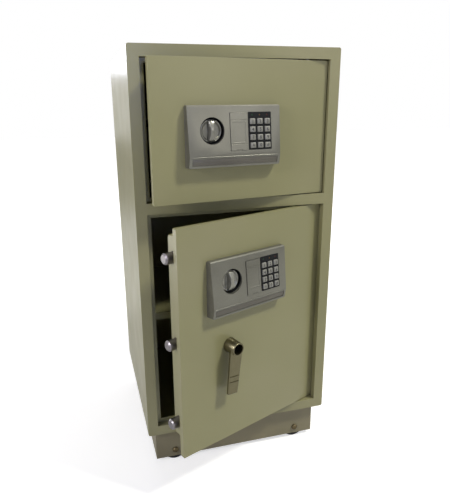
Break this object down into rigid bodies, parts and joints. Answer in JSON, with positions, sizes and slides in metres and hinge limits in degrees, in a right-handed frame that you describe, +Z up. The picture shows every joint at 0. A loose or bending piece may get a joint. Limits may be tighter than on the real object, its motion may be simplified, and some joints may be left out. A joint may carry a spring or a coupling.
{
  "type": "two-door electronic safe",
  "caption": "Tall steel safe cabinet on a recessed roller plinth; each compartment has its own hinged door with keypad lock and sliding round bolts, the lower one a lever handle.",
  "frame": {"origin": "on the floor, under the centre of the body", "axes": "+Z up, -Y towards the doors' front, +X towards the doors' hinge side"},
  "size_m": [0.38, 0.4778, 0.81],
  "materials": {
    "body_paint": "semi-gloss grey-green powder coat",
    "shelf_paint": "semi-gloss grey-green powder coat",
    "plinth_paint": "satin brown-grey paint",
    "housing_plastic": "silver-grey lacquered ABS",
    "black_plastic": "fine-textured black ABS",
    "key_plastic": "light grey key caps with dark digits",
    "bolt_chrome": "bright plated bolts on a plated bar",
    "satin_nickel": "satin nickel on a zinc casting",
    "lock_nickel": "nickel-plated lock barrel",
    "zinc_steel": "bright zinc plate",
    "roller_rubber": "black moulded roller"
  },
  "bodies": {
    "cabinet": {"body_wrap": "body_paint", "back_panel": "body_paint", "front_frame": "body_paint", "compartment_deck": "body_paint", "hinge_pins": "zinc_steel", "shelf": "shelf_paint", "shelf_brackets": "zinc_steel", "plinth": "plinth_paint", "axle_bolts": "zinc_steel"},
    "lower_door": {"lower_door_plate": "body_paint", "lower_door_casing": "body_paint", "lower_inner_cover": "body_paint", "lower_battery_box": "black_plastic", "lower_lock_housing": "housing_plastic", "lower_keypad_plate": "black_plastic", "lower_override_lock": "lock_nickel"},
    "lower_bolts": {"lower_bolt_carriage": "bolt_chrome"},
    "lower_knob_turn": {"lower_knob": "housing_plastic"},
    "lower_hatch": {"lower_override_cover": "housing_plastic"},
    "upper_door": {"upper_door_plate": "body_paint", "upper_door_casing": "body_paint", "upper_inner_cover": "body_paint", "upper_battery_box": "black_plastic", "upper_lock_housing": "housing_plastic", "upper_keypad_plate": "black_plastic", "upper_override_lock": "lock_nickel"},
    "upper_bolts": {"upper_bolt_carriage": "bolt_chrome"},
    "upper_knob_turn": {"upper_knob": "housing_plastic", "upper_knob_cam": "zinc_steel"},
    "upper_hatch": {"upper_override_cover": "housing_plastic"},
    "lever": {"lever_handle": "satin_nickel", "lever_spindle": "zinc_steel"},
    "roller_front_left": {"roller_front_left": "roller_rubber"},
    "roller_front_right": {"roller_front_right": "roller_rubber"},
    "roller_rear_left": {"roller_rear_left": "roller_rubber"},
    "roller_rear_right": {"roller_rear_right": "roller_rubber"},
    "lower_key_1": {"lower_key_1": "key_plastic"},
    "lower_key_2": {"lower_key_2": "key_plastic"},
    "lower_key_3": {"lower_key_3": "key_plastic"},
    "lower_key_4": {"lower_key_4": "key_plastic"},
    "lower_key_5": {"lower_key_5": "key_plastic"},
    "lower_key_6": {"lower_key_6": "key_plastic"},
    "lower_key_7": {"lower_key_7": "key_plastic"},
    "lower_key_8": {"lower_key_8": "key_plastic"},
    "lower_key_9": {"lower_key_9": "key_plastic"},
    "lower_key_star": {"lower_key_star": "key_plastic"},
    "lower_key_0": {"lower_key_0": "key_plastic"},
    "lower_key_hash": {"lower_key_hash": "key_plastic"},
    "upper_key_1": {"upper_key_1": "key_plastic"},
    "upper_key_2": {"upper_key_2": "key_plastic"},
    "upper_key_3": {"upper_key_3": "key_plastic"},
    "upper_key_4": {"upper_key_4": "key_plastic"},
    "upper_key_5": {"upper_key_5": "key_plastic"},
    "upper_key_6": {"upper_key_6": "key_plastic"},
    "upper_key_7": {"upper_key_7": "key_plastic"},
    "upper_key_8": {"upper_key_8": "key_plastic"},
    "upper_key_9": {"upper_key_9": "key_plastic"},
    "upper_key_star": {"upper_key_star": "key_plastic"},
    "upper_key_0": {"upper_key_0": "key_plastic"},
    "upper_key_hash": {"upper_key_hash": "key_plastic"}
  },
  "joints": [
    {"name": "lower_door_hinge", "type": "hinge", "parent": "cabinet", "child": "lower_door", "pos_m": [0.132, -0.1675, 0.315], "axis": [0, 0, 1], "range_deg": [-22, 83]},
    {"name": "lower_bolt_slide", "type": "slide", "parent": "lower_door", "child": "lower_bolts", "axis": [0.9272, 0.3746, 0], "range_m": [0, 0.017]},
    {"name": "lower_knob_spindle", "type": "hinge", "parent": "lower_door", "child": "lower_knob_turn", "pos_m": [-0.04643, -0.25577, 0.4225], "axis": [0.3746, -0.9272, 0], "range_deg": [-90, 0]},
    {"name": "lower_hatch_slide", "type": "slide", "parent": "lower_door", "child": "lower_hatch", "axis": [0.3727, -0.9225, 0.1007], "range_m": [0, 0.02]},
    {"name": "upper_door_hinge", "type": "hinge", "parent": "cabinet", "child": "upper_door", "pos_m": [0.132, -0.1675, 0.67], "axis": [0, 0, 1], "range_deg": [-8, 97]},
    {"name": "upper_bolt_slide", "type": "slide", "parent": "upper_door", "child": "upper_bolts", "axis": [0.9903, 0.1392, 0], "range_m": [-0.017, 0]},
    {"name": "upper_knob_spindle", "type": "hinge", "parent": "upper_door", "child": "upper_knob_turn", "pos_m": [-0.06248, -0.20998, 0.6725], "axis": [0.1392, -0.9903, 0], "range_deg": [-90, 0]},
    {"name": "upper_hatch_slide", "type": "slide", "parent": "upper_door", "child": "upper_hatch", "axis": [0.1385, -0.9852, 0.1007], "range_m": [0, 0.02]},
    {"name": "lever_turn", "type": "hinge", "parent": "lower_door", "child": "lever", "pos_m": [-0.04226, -0.25408, 0.296], "axis": [0.3746, -0.9272, 0], "range_deg": [0, 60]},
    {"name": "roller_front_left_axle", "type": "hinge", "parent": "cabinet", "child": "roller_front_left", "pos_m": [-0.134, -0.153, 0.025], "axis": [0, 1, 0], "continuous": true},
    {"name": "roller_front_right_axle", "type": "hinge", "parent": "cabinet", "child": "roller_front_right", "pos_m": [0.134, -0.153, 0.025], "axis": [0, 1, 0], "continuous": true},
    {"name": "roller_rear_left_axle", "type": "hinge", "parent": "cabinet", "child": "roller_rear_left", "pos_m": [-0.134, 0.16, 0.025], "axis": [0, 1, 0], "continuous": true},
    {"name": "roller_rear_right_axle", "type": "hinge", "parent": "cabinet", "child": "roller_rear_right", "pos_m": [0.134, 0.16, 0.025], "axis": [0, 1, 0], "continuous": true},
    {"name": "lower_key_1_press", "type": "slide", "parent": "lower_door", "child": "lower_key_1", "axis": [-0.3727, 0.9225, -0.1007], "range_m": [0, 0.0012], "stiffness_N_per_m": 300},
    {"name": "lower_key_2_press", "type": "slide", "parent": "lower_door", "child": "lower_key_2", "axis": [-0.3727, 0.9225, -0.1007], "range_m": [0, 0.0012], "stiffness_N_per_m": 300},
    {"name": "lower_key_3_press", "type": "slide", "parent": "lower_door", "child": "lower_key_3", "axis": [-0.3727, 0.9225, -0.1007], "range_m": [0, 0.0012], "stiffness_N_per_m": 300},
    {"name": "lower_key_4_press", "type": "slide", "parent": "lower_door", "child": "lower_key_4", "axis": [-0.3727, 0.9225, -0.1007], "range_m": [0, 0.0012], "stiffness_N_per_m": 300},
    {"name": "lower_key_5_press", "type": "slide", "parent": "lower_door", "child": "lower_key_5", "axis": [-0.3727, 0.9225, -0.1007], "range_m": [0, 0.0012], "stiffness_N_per_m": 300},
    {"name": "lower_key_6_press", "type": "slide", "parent": "lower_door", "child": "lower_key_6", "axis": [-0.3727, 0.9225, -0.1007], "range_m": [0, 0.0012], "stiffness_N_per_m": 300},
    {"name": "lower_key_7_press", "type": "slide", "parent": "lower_door", "child": "lower_key_7", "axis": [-0.3727, 0.9225, -0.1007], "range_m": [0, 0.0012], "stiffness_N_per_m": 300},
    {"name": "lower_key_8_press", "type": "slide", "parent": "lower_door", "child": "lower_key_8", "axis": [-0.3727, 0.9225, -0.1007], "range_m": [0, 0.0012], "stiffness_N_per_m": 300},
    {"name": "lower_key_9_press", "type": "slide", "parent": "lower_door", "child": "lower_key_9", "axis": [-0.3727, 0.9225, -0.1007], "range_m": [0, 0.0012], "stiffness_N_per_m": 300},
    {"name": "lower_key_star_press", "type": "slide", "parent": "lower_door", "child": "lower_key_star", "axis": [-0.3727, 0.9225, -0.1007], "range_m": [0, 0.0012], "stiffness_N_per_m": 300},
    {"name": "lower_key_0_press", "type": "slide", "parent": "lower_door", "child": "lower_key_0", "axis": [-0.3727, 0.9225, -0.1007], "range_m": [0, 0.0012], "stiffness_N_per_m": 300},
    {"name": "lower_key_hash_press", "type": "slide", "parent": "lower_door", "child": "lower_key_hash", "axis": [-0.3727, 0.9225, -0.1007], "range_m": [0, 0.0012], "stiffness_N_per_m": 300},
    {"name": "upper_key_1_press", "type": "slide", "parent": "upper_door", "child": "upper_key_1", "axis": [-0.1385, 0.9852, -0.1007], "range_m": [0, 0.0012], "stiffness_N_per_m": 300},
    {"name": "upper_key_2_press", "type": "slide", "parent": "upper_door", "child": "upper_key_2", "axis": [-0.1385, 0.9852, -0.1007], "range_m": [0, 0.0012], "stiffness_N_per_m": 300},
    {"name": "upper_key_3_press", "type": "slide", "parent": "upper_door", "child": "upper_key_3", "axis": [-0.1385, 0.9852, -0.1007], "range_m": [0, 0.0012], "stiffness_N_per_m": 300},
    {"name": "upper_key_4_press", "type": "slide", "parent": "upper_door", "child": "upper_key_4", "axis": [-0.1385, 0.9852, -0.1007], "range_m": [0, 0.0012], "stiffness_N_per_m": 300},
    {"name": "upper_key_5_press", "type": "slide", "parent": "upper_door", "child": "upper_key_5", "axis": [-0.1385, 0.9852, -0.1007], "range_m": [0, 0.0012], "stiffness_N_per_m": 300},
    {"name": "upper_key_6_press", "type": "slide", "parent": "upper_door", "child": "upper_key_6", "axis": [-0.1385, 0.9852, -0.1007], "range_m": [0, 0.0012], "stiffness_N_per_m": 300},
    {"name": "upper_key_7_press", "type": "slide", "parent": "upper_door", "child": "upper_key_7", "axis": [-0.1385, 0.9852, -0.1007], "range_m": [0, 0.0012], "stiffness_N_per_m": 300},
    {"name": "upper_key_8_press", "type": "slide", "parent": "upper_door", "child": "upper_key_8", "axis": [-0.1385, 0.9852, -0.1007], "range_m": [0, 0.0012], "stiffness_N_per_m": 300},
    {"name": "upper_key_9_press", "type": "slide", "parent": "upper_door", "child": "upper_key_9", "axis": [-0.1385, 0.9852, -0.1007], "range_m": [0, 0.0012], "stiffness_N_per_m": 300},
    {"name": "upper_key_star_press", "type": "slide", "parent": "upper_door", "child": "upper_key_star", "axis": [-0.1385, 0.9852, -0.1007], "range_m": [0, 0.0012], "stiffness_N_per_m": 300},
    {"name": "upper_key_0_press", "type": "slide", "parent": "upper_door", "child": "upper_key_0", "axis": [-0.1385, 0.9852, -0.1007], "range_m": [0, 0.0012], "stiffness_N_per_m": 300},
    {"name": "upper_key_hash_press", "type": "slide", "parent": "upper_door", "child": "upper_key_hash", "axis": [-0.1385, 0.9852, -0.1007], "range_m": [0, 0.0012], "stiffness_N_per_m": 300}
  ],
  "couplings": [
    {"joint": "upper_knob_spindle", "follows": "upper_bolt_slide", "rad_per_m": 92.4},
    {"joint": "lever_turn", "follows": "lower_bolt_slide", "rad_per_m": 61.6}
  ]
}
